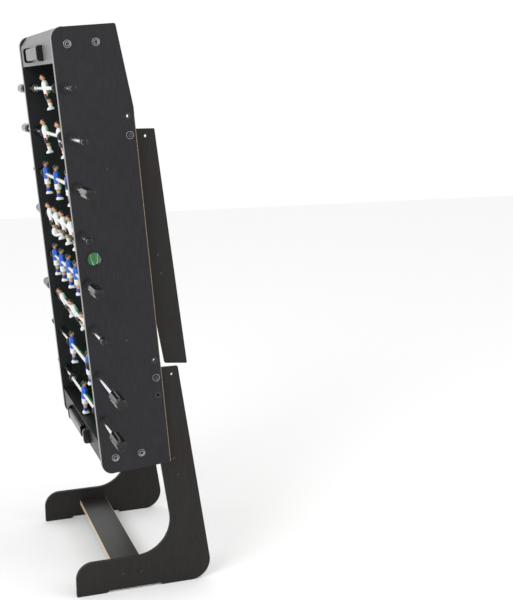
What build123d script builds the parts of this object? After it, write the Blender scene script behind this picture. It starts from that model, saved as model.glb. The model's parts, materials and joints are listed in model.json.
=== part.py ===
"""Folding foosball table, stored upright: stand, tipping cabinet, folding legs, eight player rods.

Millimetres, +Z up. Rods run along Y, the play surface faces -X while the table is stored.
The cabinet and legs are drawn lying flat as in play, then tipped to the stored position.
"""
import os
from math import atan, cos, degrees, radians, sin

from build123d import *

# ---- cabinet -------------------------------------------------------------
TABLE_LENGTH = 1210.0
TABLE_WIDTH = 630.0
PANEL_HEIGHT = 195.0
PANEL_THICKNESS = 15.0
PANEL_CORNER_RADIUS = 30.0
TAPER_LENGTH = 216.0
TAPER_HEIGHT = 25.0
EDGE_BAND = 1.0

INNER_HALF = TABLE_WIDTH / 2 - PANEL_THICKNESS
OUTER_HALF = TABLE_WIDTH / 2
MID_LENGTH = TABLE_LENGTH / 2

# ---- tipping hinge and stored position ------------------------------------
PIVOT_ALONG = 252.0
PIVOT_ABOVE_UNDERSIDE = 17.0
PIVOT_HEIGHT = 625.0
TIP_ANGLE = 94.5
LOCK_RADIUS = 50.0

# ---- folding legs ----------------------------------------------------------
LEG_PIVOT_ALONG = 921.0
LEG_PIVOT_ABOVE = 18.0
LEG_FOLD_ANGLE = 99.4
LEG_THICKNESS = 12.0
LEG_OUTER_FACE = INNER_HALF - 16.0
LEG_SPLAY = 13.0
LEG_STRETCHER_WIDTH = 92.0
LEG_STRETCHER_AT = (1030.0, -328.0)
SCREW_PAIR_PITCH = 51.0

# ---- stand -----------------------------------------------------------------
STAND_THICKNESS = 12.0
STAND_OUTER_FACE = INNER_HALF - 2.0
STAND_INNER_FACE = STAND_OUTER_FACE - STAND_THICKNESS
STRETCHER_THICKNESS = 15.0
FOOT_HEIGHT = 97.0
FOOT_TIP = -241.0
INNER_CORNER = 50.6
INNER_BEND = 100.0
UPRIGHT_TOP = 647.0
PAD_HEIGHT = 6.0
UPPER_STRETCHER_THICKNESS = 12.0
UPPER_STRETCHER_WIDTH = 76.0
UPPER_STRETCHER_SCREWS = ((49.0, 379.0), (60.5, 329.0))
FOOT_STRETCHER_SCREWS = ((-107.0, 51.5), (-55.0, 51.5))

# ---- playing field ---------------------------------------------------------
FIELD_TOP = 96.0
SHEET_THICKNESS = 2.0
FIELD_BOARD = 12.0
END_BOX = 88.5
END_BOARD = 15.0
GOAL_WALL = 12.0
GOAL_HALF_WIDTH = 85.0
GOAL_TOP = 158.0
SHELF_TOP = 192.0
BEVEL_FOOT = 170.0
BEVEL_RUN = 29.0
RETURN_RADIUS = 48.0
RETURN_HEIGHT = 100.0
TRAY_HALF_WIDTH = 110.0
TRAY_WALL = 3.0
TRAY_FLOOR = 44.0

# ---- rods and players -------------------------------------------------------
ROD_RADIUS = 6.35
ROD_WALL = 1.25
ROD_PITCH = 129.0
ROD_HEIGHT = 174.0
BEARING_BODY = 11.0
BEARING_FLANGE = 15.0
BEARING_OUTSIDE = 6.0
BEARING_INSIDE = 4.0
BEARING_CLEARANCE = 0.08
BUMPER_LENGTH = 20.0
SHORT_BUMPER_LENGTH = 8.0
BUMPER_RADIUS = 13.0
GRIP_LENGTH = 104.0
GRIP_RADIUS = 15.0
CAP_LENGTH = 30.0
CAP_RADIUS = 8.5
MAN_HALF_WIDTH = 17.5
STOP_DISTANCE = 181.0

# men: players on the rod and their spacing; handle: side it is on (-1 near, 1 far)
# shift: how far the rod is slid while stored; hang: how far the players lean from upright
# grip_gap, cap_gap: rod showing between bearing and grip or cap when slid fully in
# rod 1 is at the folding-leg end, rod 8 at the stand end
RODS = {
    1: dict(men=1, spacing=0.0, handle=1, shift=10.0, grip_gap=16.0, cap_gap=8.0, hang=13.0),
    2: dict(men=2, spacing=268.0, handle=1, shift=-16.0, grip_gap=40.0, cap_gap=24.0, hang=11.0),
    3: dict(men=3, spacing=196.0, handle=-1, shift=10.0, grip_gap=42.0, cap_gap=20.0, hang=5.0),
    4: dict(men=5, spacing=123.0, handle=1, shift=-22.0, grip_gap=38.0, cap_gap=24.0, hang=13.0),
    5: dict(men=5, spacing=123.0, handle=-1, shift=-18.0, grip_gap=10.0, cap_gap=8.0, hang=5.0),
    6: dict(men=3, spacing=196.0, handle=1, shift=-32.0, grip_gap=60.0, cap_gap=18.0, hang=25.0),
    7: dict(men=2, spacing=268.0, handle=-1, shift=-31.0, grip_gap=25.0, cap_gap=22.0, hang=4.0),
    8: dict(men=1, spacing=0.0, handle=-1, shift=-18.0, grip_gap=5.0, cap_gap=8.0, hang=1.0),
}

# ---- small parts -------------------------------------------------------------
BOLT_RADIUS = 4.0
RUNNING_CLEARANCE = 0.06
END_BOLT_ALONG = 44.0
END_BOLT_HEIGHTS = (81.0, 155.0)
WASHER_RADIUS = 10.0
SIDE_SCREW_ALONG = 371.0
THROW_IN_HEIGHT = 149.5
THROW_IN_RADIUS = 18.0
BEZEL_RADIUS = 22.0
BUSH_RADIUS = 6.0
BUSH_FLANGE = 9.5
SCORER_LENGTH = 270.0
SCORER_HALF_WIDTH = 21.0
SCORER_HEIGHT = 18.0
SCORER_ALONG = 58.0
BRACKET_THICKNESS = 14.0
RAIL_RADIUS = 3.0
RAIL_ABOVE_SHELF = 9.6
BEAD_PITCH = 9.6
BEAD_COUNT = 10
BEAD_SLACK = 6.0


def flat_shape(corners):
    """Closed outline from (along, height, corner radius) entries."""
    face = make_face(Polyline([(a, h) for a, h, _ in corners], close=True))
    for a, h, radius in corners:
        if radius:
            corner = face.vertices().sort_by_distance((a, h, 0))[0]
            face = fillet(corner, radius)
    return face


def slab(outline, y0, y1):
    """Stand an outline upright and give it thickness from y0 to y1."""
    return extrude(Plane.XZ.offset(-y1) * outline, amount=y1 - y0)


def block(x0, x1, y0, y1, z0, z1):
    return Pos((x0 + x1) / 2, (y0 + y1) / 2, (z0 + z1) / 2) * Box(x1 - x0, y1 - y0, z1 - z0)


def cross_rod(radius, x, z, y0, y1):
    """Cylinder along Y."""
    return Pos(x, (y0 + y1) / 2, z) * Rot(90, 0, 0) * Cylinder(radius, y1 - y0)


def solids(shapes):
    """Group of separate solids kept apart in one part."""
    found = []
    for shape in shapes:
        found.extend(shape.solids())
    return Compound(children=found)


def mirrored(shape):
    return mirror(shape, about=Plane.XZ)


def rod_along(number):
    return MID_LENGTH + ROD_PITCH * (4.5 - number)


def at_far_end(shape):
    """Turn a part of the stand end round to the leg end, as seen in play."""
    return mirror(shape, about=Plane.YZ.offset(MID_LENGTH))


def lock_places():
    """Holes in the side panel that take the lock pins of the stand and of the legs."""
    return [
        (PIVOT_ALONG - LOCK_RADIUS, PIVOT_ABOVE_UNDERSIDE),
        (PIVOT_ALONG + LOCK_RADIUS, PIVOT_ABOVE_UNDERSIDE),
        (LEG_PIVOT_ALONG + LOCK_RADIUS, LEG_PIVOT_ABOVE),
    ]


# ---- side panels -------------------------------------------------------------
def side_panel(side):
    outline = flat_shape(
        [
            (0, 0, 4),
            (0, PANEL_HEIGHT - EDGE_BAND, PANEL_CORNER_RADIUS),
            (TABLE_LENGTH, PANEL_HEIGHT - EDGE_BAND, PANEL_CORNER_RADIUS),
            (TABLE_LENGTH, TAPER_HEIGHT, 6),
            (TABLE_LENGTH - TAPER_LENGTH, 0, 20),
        ]
    )
    inner, outer = sorted((side * INNER_HALF, side * OUTER_HALF))
    panel = slab(outline, inner, outer)
    holes = []
    for number in RODS:
        holes.append((rod_along(number), ROD_HEIGHT, BEARING_BODY))
    holes.append((MID_LENGTH, THROW_IN_HEIGHT, THROW_IN_RADIUS + 2))
    pivot = BOLT_RADIUS + RUNNING_CLEARANCE
    holes.append((PIVOT_ALONG, PIVOT_ABOVE_UNDERSIDE, pivot))
    holes.append((LEG_PIVOT_ALONG, LEG_PIVOT_ABOVE, pivot))
    for along, height in lock_places():
        holes.append((along, height, BUSH_RADIUS))
    for along in (END_BOLT_ALONG, TABLE_LENGTH - END_BOLT_ALONG):
        for height in END_BOLT_HEIGHTS:
            holes.append((along, height, 3.0))
    for along in (SIDE_SCREW_ALONG, TABLE_LENGTH - SIDE_SCREW_ALONG):
        holes.append((along, FIELD_TOP - SHEET_THICKNESS - FIELD_BOARD / 2, 1.8))
    for along, height, radius in holes:
        panel -= cross_rod(radius, along, height, inner - 1, outer + 1)
    return panel


def edge_band(side):
    """Light strip on the play edge, running round the two rounded corners."""
    radius = PANEL_CORNER_RADIUS
    top = PANEL_HEIGHT - EDGE_BAND
    wide = flat_shape(
        [
            (-EDGE_BAND, top - radius, 0),
            (-EDGE_BAND, PANEL_HEIGHT, radius + EDGE_BAND),
            (TABLE_LENGTH + EDGE_BAND, PANEL_HEIGHT, radius + EDGE_BAND),
            (TABLE_LENGTH + EDGE_BAND, top - radius, 0),
        ]
    )
    core = flat_shape(
        [
            (0, 0, 0),
            (0, top, radius),
            (TABLE_LENGTH, top, radius),
            (TABLE_LENGTH, 0, 0),
        ]
    )
    inner, outer = sorted((side * INNER_HALF, side * OUTER_HALF))
    return slab(wide, inner, outer) - slab(core, inner, outer)


# ---- boards between the panels -------------------------------------------------
def end_panel(with_tongue):
    board = block(0, END_BOARD, -INNER_HALF, INNER_HALF, 30, BEVEL_FOOT)
    if with_tongue:
        half = STAND_INNER_FACE - 12
        board += block(0, END_BOARD, -half, half, 0, 30)
    hole = Pos(END_BOARD / 2, 0, RETURN_HEIGHT) * Rot(0, 90, 0) * Cylinder(RETURN_RADIUS, 2 * END_BOARD)
    return board - hole


def end_shelf():
    shelf = block(BEVEL_RUN, END_BOX, -INNER_HALF, INNER_HALF, SHELF_TOP - END_BOARD, SHELF_TOP)
    fall = (SHELF_TOP - BEVEL_FOOT) / BEVEL_RUN
    under = BEVEL_RUN - (SHELF_TOP - END_BOARD - BEVEL_FOOT) / fall
    bevel = flat_shape(
        [
            (0, BEVEL_FOOT, 0),
            (BEVEL_RUN, SHELF_TOP, 0),
            (BEVEL_RUN, SHELF_TOP - END_BOARD, 0),
            (under, BEVEL_FOOT, 0),
        ]
    )
    return [shelf, slab(bevel, -INNER_HALF, INNER_HALF)]


def goal_wall():
    base = FIELD_TOP - SHEET_THICKNESS
    wall = block(END_BOX - GOAL_WALL, END_BOX, -INNER_HALF, INNER_HALF, base, SHELF_TOP - END_BOARD)
    mouth = flat_shape_yz(
        [
            (-GOAL_HALF_WIDTH, base - 1, 0),
            (-GOAL_HALF_WIDTH, GOAL_TOP, 12),
            (GOAL_HALF_WIDTH, GOAL_TOP, 12),
            (GOAL_HALF_WIDTH, base - 1, 0),
        ],
        END_BOX - 2 * GOAL_WALL,
        END_BOX + GOAL_WALL,
    )
    return wall - mouth


def flat_shape_yz(corners, x0, x1):
    """Outline drawn in Y and Z, given thickness from x0 to x1."""
    return extrude(Plane.YZ.offset(x0) * flat_shape(corners), amount=x1 - x0)


def corner_posts():
    posts = []
    for side in (-1, 1):
        inner, outer = sorted((side * (INNER_HALF - 32), side * INNER_HALF))
        posts.append(block(BEVEL_RUN, BEVEL_RUN + 30, inner, outer, 60, SHELF_TOP - END_BOARD))
    bored = []
    for post in posts:
        for height in END_BOLT_HEIGHTS:
            post -= cross_rod(3.0, END_BOLT_ALONG, height, -INNER_HALF - 1, INNER_HALF + 1)
        bored.append(post)
    return bored


def ball_tray():
    rear = END_BOX - GOAL_WALL
    top = FIELD_TOP - SHEET_THICKNESS - FIELD_BOARD
    half = TRAY_HALF_WIDTH
    tray = block(END_BOARD, rear, -half, half, TRAY_FLOOR, TRAY_FLOOR + TRAY_WALL)
    tray += block(rear - TRAY_WALL, rear, -half, half, TRAY_FLOOR, top + FIELD_BOARD)
    for side in (-1, 1):
        inner, outer = sorted((side * (half - TRAY_WALL), side * half))
        tray += block(END_BOARD, rear, inner, outer, TRAY_FLOOR, top + FIELD_BOARD)
    return tray


def playfield_board():
    top = FIELD_TOP - SHEET_THICKNESS
    rear = END_BOX - GOAL_WALL
    board = block(rear, TABLE_LENGTH - rear, -INNER_HALF, INNER_HALF, top - FIELD_BOARD, top)
    for along in (SIDE_SCREW_ALONG, TABLE_LENGTH - SIDE_SCREW_ALONG):
        for side in (-1, 1):
            y0, y1 = sorted((side * (INNER_HALF - 22), side * (INNER_HALF + 1)))
            board -= cross_rod(1.8, along, top - FIELD_BOARD / 2, y0, y1)
    return board


def playfield_sheet():
    top = FIELD_TOP
    return block(END_BOX, TABLE_LENGTH - END_BOX, -INNER_HALF, INNER_HALF, top - SHEET_THICKNESS, top)


# ---- bearings and throw-in rings --------------------------------------------------
def bearing(number, side):
    along = rod_along(number)
    shapes = [
        (BEARING_BODY, INNER_HALF, OUTER_HALF),
        (BEARING_FLANGE - 1, INNER_HALF - BEARING_INSIDE, INNER_HALF),
        (BEARING_FLANGE, OUTER_HALF, OUTER_HALF + 3),
        (BEARING_BODY, OUTER_HALF + 3, OUTER_HALF + BEARING_OUTSIDE),
    ]
    body = None
    for radius, start, stop in shapes:
        y0, y1 = sorted((side * start, side * stop))
        piece = cross_rod(radius, along, ROD_HEIGHT, y0, y1)
        body = piece if body is None else body + piece
    return body - cross_rod(ROD_RADIUS + BEARING_CLEARANCE, along, ROD_HEIGHT, -OUTER_HALF - 20, OUTER_HALF + 20)


def throw_in_bezel(side):
    y0, y1 = sorted((side * INNER_HALF, side * OUTER_HALF))
    ring = cross_rod(THROW_IN_RADIUS + 2, MID_LENGTH, THROW_IN_HEIGHT, y0, y1)
    y0, y1 = sorted((side * OUTER_HALF, side * (OUTER_HALF + 2)))
    ring += cross_rod(BEZEL_RADIUS, MID_LENGTH, THROW_IN_HEIGHT, y0, y1)
    return ring - cross_rod(THROW_IN_RADIUS, MID_LENGTH, THROW_IN_HEIGHT, -OUTER_HALF - 5, OUTER_HALF + 5)


# ---- score counters ------------------------------------------------------------------
def scorer_frame():
    """Base strip, two end brackets and the rail that the beads slide on."""
    half = SCORER_LENGTH / 2
    x0, x1 = SCORER_ALONG - SCORER_HALF_WIDTH, SCORER_ALONG + SCORER_HALF_WIDTH
    frame = block(x0, x1, -half, half, SHELF_TOP, SHELF_TOP + 2)
    for side in (-1, 1):
        y0, y1 = sorted((side * (half - BRACKET_THICKNESS), side * half))
        bracket = flat_shape(
            [
                (x0, SHELF_TOP + 1, 0),
                (x0, SHELF_TOP + SCORER_HEIGHT, 8),
                (x1, SHELF_TOP + SCORER_HEIGHT, 8),
                (x1, SHELF_TOP + 1, 0),
            ]
        )
        frame += slab(bracket, y0, y1)
    reach = half - BRACKET_THICKNESS / 2
    rail = cross_rod(RAIL_RADIUS, SCORER_ALONG, SHELF_TOP + RAIL_ABOVE_SHELF, -reach, reach)
    return [frame - rail, rail]


def beads(first_y):
    """Ten beads side by side, each a rounded block with a hole for the rail."""
    row = []
    rail_height = SHELF_TOP + RAIL_ABOVE_SHELF
    for index in range(BEAD_COUNT):
        y0 = first_y + index * BEAD_PITCH
        outline = flat_shape(
            [
                (SCORER_ALONG - 17, SHELF_TOP + 2.4, 3),
                (SCORER_ALONG - 17, SHELF_TOP + 16.8, 6),
                (SCORER_ALONG + 17, SHELF_TOP + 16.8, 6),
                (SCORER_ALONG + 17, SHELF_TOP + 2.4, 3),
            ]
        )
        bead = slab(outline, y0 + 0.2, y0 + BEAD_PITCH - 0.2)
        bore = cross_rod(RAIL_RADIUS + RUNNING_CLEARANCE, SCORER_ALONG, rail_height, y0 - 1, y0 + BEAD_PITCH + 1)
        row.append(bead - bore)
    return row


# ---- bolts and screws -----------------------------------------------------------------
def end_bolt(along, height, side):
    """Bolt with a wide round washer against the outer face of the side panel."""
    face = side * OUTER_HALF
    parts = [
        (3.0, side * (INNER_HALF - 28), face),
        (WASHER_RADIUS, face, face + side * 1.5),
        (6.5, face + side * 1.5, face + side * 4.5),
    ]
    bolt = None
    for radius, start, stop in parts:
        y0, y1 = sorted((start, stop))
        piece = cross_rod(radius, along, height, y0, y1)
        bolt = piece if bolt is None else bolt + piece
    socket_start, socket_stop = sorted((face + side * 2.5, face + side * 6))
    return bolt - cross_rod(2.6, along, height, socket_start, socket_stop)


def small_screw(along, height, face, side, depth):
    y0, y1 = sorted((face, face - side * depth))
    screw = cross_rod(1.8, along, height, y0, y1)
    y0, y1 = sorted((face, face + side * 1.2))
    return screw + cross_rod(4.2, along, height, y0, y1)


def pivot_bolt(along, height, side, reach, spacer_from):
    """Hinge bolt: domed head outside, plain shank, spacer tube inside the panel."""
    head_from = OUTER_HALF + 0.3
    parts = [
        (BOLT_RADIUS, reach, head_from),
        (WASHER_RADIUS, head_from, head_from + 1.5),
        (7.0, head_from + 1.5, head_from + 5.5),
        (9.0, spacer_from, INNER_HALF - 0.2),
    ]
    bolt = None
    for radius, start, stop in parts:
        y0, y1 = sorted((side * start, side * stop))
        piece = cross_rod(radius, along, height, y0, y1)
        bolt = piece if bolt is None else bolt + piece
    y0, y1 = sorted((side * (head_from + 3), side * (head_from + 8)))
    return bolt - cross_rod(3.0, along, height, y0, y1)


def lock_bush(along, height, side):
    """Flanged sleeve pressed into a lock hole."""
    y0, y1 = sorted((side * INNER_HALF, side * OUTER_HALF))
    bush = cross_rod(BUSH_RADIUS, along, height, y0, y1)
    y0, y1 = sorted((side * OUTER_HALF, side * (OUTER_HALF + 1.2)))
    bush += cross_rod(BUSH_FLANGE, along, height, y0, y1)
    return bush - cross_rod(BOLT_RADIUS + 0.2, along, height, -OUTER_HALF - 5, OUTER_HALF + 5)


# ---- folding legs, drawn swung out --------------------------------------------------------
def leg(side):
    floor = -(PIVOT_HEIGHT - PIVOT_ABOVE_UNDERSIDE)
    outline = flat_shape(
        [
            (896, 31, 10),
            (994, 39.5, 1),
            (1127, floor, 3),
            (1063, floor, 3),
        ]
    )
    y0, y1 = sorted((side * (LEG_OUTER_FACE - LEG_THICKNESS), side * LEG_OUTER_FACE))
    board = slab(outline, y0, y1)
    board -= cross_rod(BOLT_RADIUS, LEG_PIVOT_ALONG, LEG_PIVOT_ABOVE, y0 - 1, y1 + 1)
    board -= cross_rod(BOLT_RADIUS + 0.2, LEG_PIVOT_ALONG + LOCK_RADIUS, LEG_PIVOT_ABOVE, y0 - 1, y1 + 1)
    for step in (-1, 1):
        along, height = leg_screw_place(step)
        board -= cross_rod(1.8, along, height, y0 - 1, y1 + 1)
    return board


def leg_screw_place(step):
    slope = radians(LEG_SPLAY)
    along = LEG_STRETCHER_AT[0] - step * SCREW_PAIR_PITCH / 2 * sin(slope)
    height = LEG_STRETCHER_AT[1] + step * SCREW_PAIR_PITCH / 2 * cos(slope)
    return along, height


def leg_stretcher():
    half = LEG_OUTER_FACE - LEG_THICKNESS
    board = Box(STRETCHER_THICKNESS, 2 * half, LEG_STRETCHER_WIDTH)
    board = Pos(LEG_STRETCHER_AT[0], 0, LEG_STRETCHER_AT[1]) * Rot(0, -LEG_SPLAY, 0) * board
    for step in (-1, 1):
        along, height = leg_screw_place(step)
        for side in (-1, 1):
            y0, y1 = sorted((side * (half - 30), side * (half + 1)))
            board -= cross_rod(1.8, along, height, y0, y1)
    return board


def leg_fasteners():
    group = []
    for side in (-1, 1):
        group.append(
            pivot_bolt(LEG_PIVOT_ALONG, LEG_PIVOT_ABOVE, side, LEG_OUTER_FACE - LEG_THICKNESS, LEG_OUTER_FACE)
        )
        for step in (-1, 1):
            along, height = leg_screw_place(step)
            group.append(small_screw(along, height, side * LEG_OUTER_FACE, side, LEG_THICKNESS + 28))
    return group


# ---- stand, drawn in place -------------------------------------------------------------------
def stand_panel(side):
    """Upright and foot cut from one board, with a shallow arch under the foot."""
    outline = flat_shape(
        [
            (FOOT_TIP, 0, 3),
            (FOOT_TIP, FOOT_HEIGHT, 48),
            (INNER_CORNER, FOOT_HEIGHT, INNER_BEND),
            (-27.5, UPRIGHT_TOP, 2),
            (67.4, UPRIGHT_TOP, 2),
            (160.6, 0, 58),
            (9, 0, 2),
            (2, PAD_HEIGHT, 3),
            (-148, PAD_HEIGHT, 3),
            (-157, 0, 2),
        ]
    )
    y0, y1 = sorted((side * STAND_INNER_FACE, side * STAND_OUTER_FACE))
    board = slab(outline, y0, y1)
    board -= cross_rod(BOLT_RADIUS, 0, PIVOT_HEIGHT, y0 - 1, y1 + 1)
    turn = radians(TIP_ANGLE)
    for dx, dz in ((LOCK_RADIUS, 0), (-LOCK_RADIUS * cos(turn), -LOCK_RADIUS * sin(turn))):
        board -= cross_rod(BOLT_RADIUS + 0.2, dx, PIVOT_HEIGHT + dz, y0 - 1, y1 + 1)
    for x, z in UPPER_STRETCHER_SCREWS + FOOT_STRETCHER_SCREWS:
        board -= cross_rod(1.8, x, z, y0 - 1, y1 + 1)
    return board


def drill_board(board, places):
    for x, z in places:
        for side in (-1, 1):
            y0, y1 = sorted((side * (STAND_INNER_FACE - 30), side * (STAND_INNER_FACE + 1)))
            board -= cross_rod(1.8, x, z, y0, y1)
    return board


def on_upper_stretcher(shape):
    """Carry a shape drawn about the upper stretcher's middle to its place in the stand."""
    (xa, za), (xb, zb) = UPPER_STRETCHER_SCREWS
    lean = degrees(atan((xb - xa) / (za - zb)))
    return Pos((xa + xb) / 2, 0, (za + zb) / 2) * Rot(0, -lean, 0) * shape


def upper_stretcher():
    board = Box(UPPER_STRETCHER_THICKNESS, 2 * STAND_INNER_FACE, UPPER_STRETCHER_WIDTH)
    return drill_board(on_upper_stretcher(board), UPPER_STRETCHER_SCREWS)


def stop_pads():
    """Rubber pads on the upper stretcher that the stored cabinet leans on."""
    past_underside = IN_PLAY_TO_STORED * block(-100, 200, -400, 400, -0.3, 60)
    pads = []
    for y in (-150, 150):
        pad = Pos(-UPPER_STRETCHER_THICKNESS / 2 - 10, y, 26) * Rot(0, 90, 0) * Cylinder(11, 20)
        pads.append(on_upper_stretcher(pad) - past_underside)
    return pads


def foot_stretcher():
    board = block(-125, -38, -STAND_INNER_FACE, STAND_INNER_FACE, 44, 44 + STRETCHER_THICKNESS)
    return drill_board(board, FOOT_STRETCHER_SCREWS)


def stand_fasteners():
    group = []
    for side in (-1, 1):
        group.append(pivot_bolt(0, PIVOT_HEIGHT, side, STAND_INNER_FACE, STAND_OUTER_FACE))
        for x, z in UPPER_STRETCHER_SCREWS + FOOT_STRETCHER_SCREWS:
            group.append(small_screw(x, z, side * STAND_OUTER_FACE, side, STAND_THICKNESS + 28))
    return group


# ---- a toy player: head up, facing +X, rod along Y through the chest ------------------------------
def section(z, wide, deep, forward=0.0):
    radius = min(wide, deep) * 0.32
    return Pos(forward, 0, z) * RectangleRounded(deep, wide, radius)


def player():
    chest = loft(
        [
            section(21, 15, 11),
            section(15, 30, 16),
            section(0, 29, 19),
            section(-13, 24, 17),
            section(-29, 26, 18),
        ]
    )
    legs = loft(
        [
            section(-28, 22, 14),
            section(-40, 17, 12),
            section(-52, 16, 12),
        ]
    )
    foot = flat_shape(
        [
            (-10, -61, 2),
            (-10, -50, 3),
            (4, -50, 3),
            (12.5, -56, 2),
            (12.5, -61, 2),
        ]
    )
    body = chest + legs + slab(foot, -10, 10)
    body += Pos(0, 0, 22) * Cylinder(4.5, 8)
    body += Pos(0.5, 0, 30.5) * Sphere(9.2)
    return body - cross_rod(ROD_RADIUS, 0, 0, -40, 40)


# ---- rods ------------------------------------------------------------------------------------------
def men_places(spec):
    first = -(spec["men"] - 1) / 2 * spec["spacing"]
    return [first + index * spec["spacing"] for index in range(spec["men"])]


def bumper_start(spec):
    """Distance from the middle of the players to the inner face of the bumper."""
    if spec["men"] == 1:
        return STOP_DISTANCE
    return (spec["men"] - 1) / 2 * spec["spacing"] + MAN_HALF_WIDTH + 0.5


def bumper_length(spec):
    """The five-man rods have short bumpers, so that they can still slide."""
    return SHORT_BUMPER_LENGTH if spec["men"] == 5 else BUMPER_LENGTH


def travel(spec):
    """How far the rod slides each way before a bumper meets a bearing."""
    return INNER_HALF - BEARING_INSIDE - 0.5 - bumper_start(spec) - bumper_length(spec)


def grip_start(spec):
    return OUTER_HALF + BEARING_OUTSIDE + spec["grip_gap"] + travel(spec)


def cap_start(spec):
    return OUTER_HALF + BEARING_OUTSIDE + spec["cap_gap"] + travel(spec)


def rod_tube(spec):
    """Steel tube, with a stop collar beside each bumper on the goalkeeper rods."""
    start = -(cap_start(spec) + CAP_LENGTH - 6)
    stop = grip_start(spec) + GRIP_LENGTH - 15
    tube = cross_rod(ROD_RADIUS, 0, 0, start, stop)
    tube -= cross_rod(ROD_RADIUS - ROD_WALL, 0, 0, start - 1, stop + 1)
    parts = [tube]
    if spec["men"] == 1:
        for side in (-1, 1):
            y0, y1 = sorted((side * (STOP_DISTANCE - 8.5), side * (STOP_DISTANCE - 0.5)))
            parts.append(cross_rod(10, 0, 0, y0, y1) - cross_rod(ROD_RADIUS, 0, 0, y0 - 1, y1 + 1))
    return parts


def grip(spec):
    """Eight-sided moulded handle with a flat round end."""
    y = grip_start(spec)
    profile = make_face(
        Polyline(
            [
                (0, 0),
                (9.5, 0),
                (11.5, 3),
                (GRIP_RADIUS - 0.6, 12),
                (GRIP_RADIUS, 42),
                (GRIP_RADIUS, 86),
                (GRIP_RADIUS - 1.2, 97),
                (12.6, 99),
                (12.6, GRIP_LENGTH),
                (0, GRIP_LENGTH),
            ],
            close=True,
        )
    )
    barrel = revolve(Plane.XY * profile, axis=Axis.Y)
    prism = extrude(Plane.XZ * RegularPolygon(GRIP_RADIUS, 8), amount=-GRIP_LENGTH)
    shape = Pos(0, y, 0) * (barrel & prism)
    return shape - cross_rod(ROD_RADIUS, 0, 0, y - 1, y + GRIP_LENGTH - 15)


def end_cap(spec):
    y0 = -(cap_start(spec) + CAP_LENGTH)
    cap = cross_rod(CAP_RADIUS, 0, 0, y0, y0 + CAP_LENGTH)
    cap = fillet(cap.edges().filter_by(GeomType.CIRCLE).sort_by(Axis.Y)[0], 3)
    return cap - cross_rod(ROD_RADIUS, 0, 0, y0 + 6, y0 + CAP_LENGTH + 1)


def bumpers(spec):
    pair = []
    for side in (-1, 1):
        y0, y1 = sorted((side * bumper_start(spec), side * (bumper_start(spec) + bumper_length(spec))))
        ring = cross_rod(BUMPER_RADIUS, 0, 0, y0, y1)
        ring = fillet(ring.edges().filter_by(GeomType.CIRCLE), 2.0)
        pair.append(ring - cross_rod(ROD_RADIUS + 0.05, 0, 0, y0 - 1, y1 + 1))
    return pair


# ---- assembly -----------------------------------------------------------------------------------------
IN_PLAY_TO_STORED = Pos(0, 0, PIVOT_HEIGHT) * Rot(0, -TIP_ANGLE, 0) * Pos(-PIVOT_ALONG, 0, -PIVOT_ABOVE_UNDERSIDE)
LEG_SWUNG_IN = (
    Pos(LEG_PIVOT_ALONG, 0, LEG_PIVOT_ABOVE)
    * Rot(0, LEG_FOLD_ANGLE, 0)
    * Pos(-LEG_PIVOT_ALONG, 0, -LEG_PIVOT_ABOVE)
)


def stored(shapes):
    return [IN_PLAY_TO_STORED * shape for shape in shapes]


def folded(shapes):
    return [IN_PLAY_TO_STORED * LEG_SWUNG_IN * shape for shape in shapes]


def both_ends(shapes):
    return list(shapes) + [at_far_end(shape) for shape in shapes]


parts = {
    "side_panel_near": stored([side_panel(-1)]),
    "side_panel_far": stored([side_panel(1)]),
    "edge_bands": stored([edge_band(-1), edge_band(1)]),
    "end_panels": stored([end_panel(True), at_far_end(end_panel(False))]),
    "end_shelves": stored(both_ends(end_shelf())),
    "goal_walls": stored(both_ends([goal_wall()])),
    "corner_posts": stored(both_ends(corner_posts())),
    "playfield_board": stored([playfield_board()]),
    "playfield_sheet": stored([playfield_sheet()]),
    "ball_trays": stored(both_ends([ball_tray()])),
    "bearings": stored([bearing(number, side) for number in RODS for side in (-1, 1)]),
    "throw_in_bezels": stored([throw_in_bezel(-1), throw_in_bezel(1)]),
}

parts["scorer_frames"] = stored(both_ends(scorer_frame()))
BEAD_RUN = BEAD_COUNT * BEAD_PITCH
RAIL_HALF = SCORER_LENGTH / 2 - BRACKET_THICKNESS
leg_end_black = BEAD_SLACK - RAIL_HALF
stand_end_white = RAIL_HALF - BEAD_SLACK - BEAD_RUN
parts["beads_black_leg_end"] = stored([at_far_end(bead) for bead in beads(leg_end_black)])
parts["beads_white_leg_end"] = stored([at_far_end(bead) for bead in beads(leg_end_black + BEAD_RUN)])
parts["beads_white_stand_end"] = stored(beads(stand_end_white))
parts["beads_black_stand_end"] = stored(beads(stand_end_white - BEAD_RUN))

fasteners = []
for side in (-1, 1):
    for along in (END_BOLT_ALONG, TABLE_LENGTH - END_BOLT_ALONG):
        for height in END_BOLT_HEIGHTS:
            fasteners.append(end_bolt(along, height, side))
    for along in (SIDE_SCREW_ALONG, TABLE_LENGTH - SIDE_SCREW_ALONG):
        middle = FIELD_TOP - SHEET_THICKNESS - FIELD_BOARD / 2
        fasteners.append(small_screw(along, middle, side * OUTER_HALF, side, PANEL_THICKNESS + 21))
    for along, height in lock_places():
        fasteners.append(lock_bush(along, height, side))
parts["cabinet_fasteners"] = stored(fasteners)

parts["stand_panel_near"] = [stand_panel(-1)]
parts["stand_panel_far"] = [stand_panel(1)]
parts["upper_stretcher"] = [upper_stretcher()]
parts["foot_stretcher"] = [foot_stretcher()]
parts["stand_fasteners"] = stand_fasteners()
parts["stop_pads"] = stop_pads()

parts["leg_near"] = folded([leg(-1)])
parts["leg_far"] = folded([leg(1)])
parts["leg_stretcher"] = folded([leg_stretcher()])
parts["leg_fasteners"] = folded(leg_fasteners())

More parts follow.
